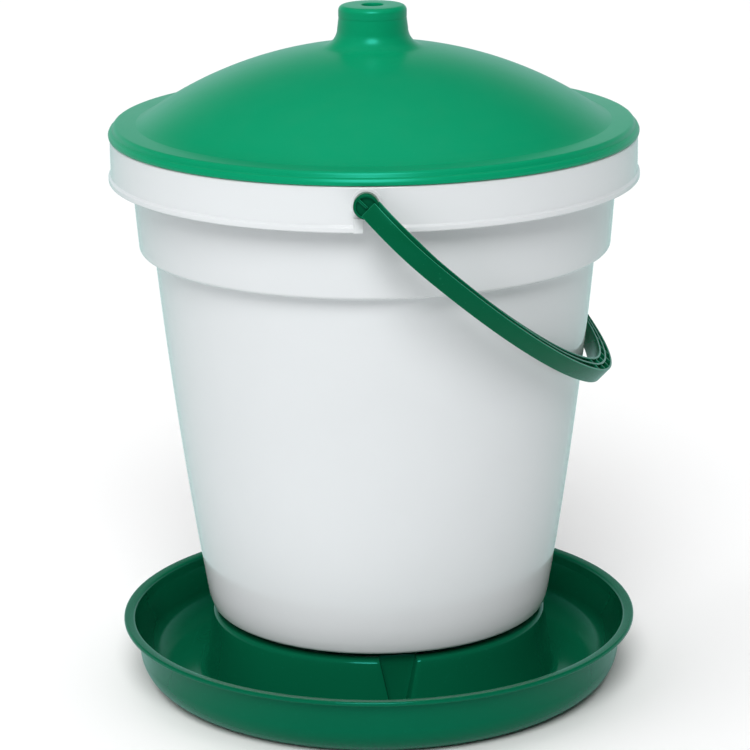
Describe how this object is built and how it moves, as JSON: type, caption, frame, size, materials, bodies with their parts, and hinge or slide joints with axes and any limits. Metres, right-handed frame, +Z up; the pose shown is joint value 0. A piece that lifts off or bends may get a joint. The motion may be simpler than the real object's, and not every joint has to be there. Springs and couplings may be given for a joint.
{
  "type": "gravity poultry feeder",
  "caption": "Pail-shaped gravity feeder: tapered white bucket on a green feed tray with a notched seat ring, domed lift-off lid with a knob, and a swinging carrying bail.",
  "frame": {"origin": "centre of the footprint, on the surface the feeder stands on", "axes": "+Z up along the feeder's axis; the bail pivots on an axis parallel to Y and hangs towards +X"},
  "size_m": [0.3532, 0.393, 0.465],
  "materials": {
    "tray_plastic": "glossy moulded polypropylene, green",
    "bucket_plastic": "glossy moulded polypropylene, cool white",
    "lid_plastic": "satin to glossy moulded polypropylene, green",
    "bail_plastic": "glossy moulded polypropylene, deeper green",
    "inner_plastic": "plain moulded polypropylene, natural white",
    "fixing_steel": "zinc-plated steel",
    "wing_nut_plastic": "black nylon"
  },
  "bodies": {
    "root": {"tray": "tray_plastic", "well_floor": "tray_plastic", "feed_notch_1": "tray_plastic", "feed_notch_2": "tray_plastic", "feed_notch_3": "tray_plastic", "seat_arc_1": "tray_plastic", "seat_arc_2": "tray_plastic", "seat_arc_3": "tray_plastic", "seat_arc_4": "tray_plastic", "seat_arc_5": "tray_plastic", "seat_arc_6": "tray_plastic", "bucket": "bucket_plastic", "feed_cone": "inner_plastic", "spacer_sleeve": "inner_plastic", "tie_bolt": "fixing_steel", "base_washer": "fixing_steel", "cone_washer": "fixing_steel", "wing_nut": "wing_nut_plastic"},
    "lid": {"lid": "lid_plastic"},
    "bail": {"bail": "bail_plastic"}
  },
  "joints": [
    {"name": "lid_lift", "type": "slide", "parent": "root", "child": "lid", "axis": [0, 0, 1], "range_m": [0, 0.1]},
    {"name": "bail_swing", "type": "hinge", "parent": "root", "child": "bail", "pos_m": [0, 0, 0.3704], "axis": [0, -1, 0], "range_deg": [0, 268.4]}
  ]
}
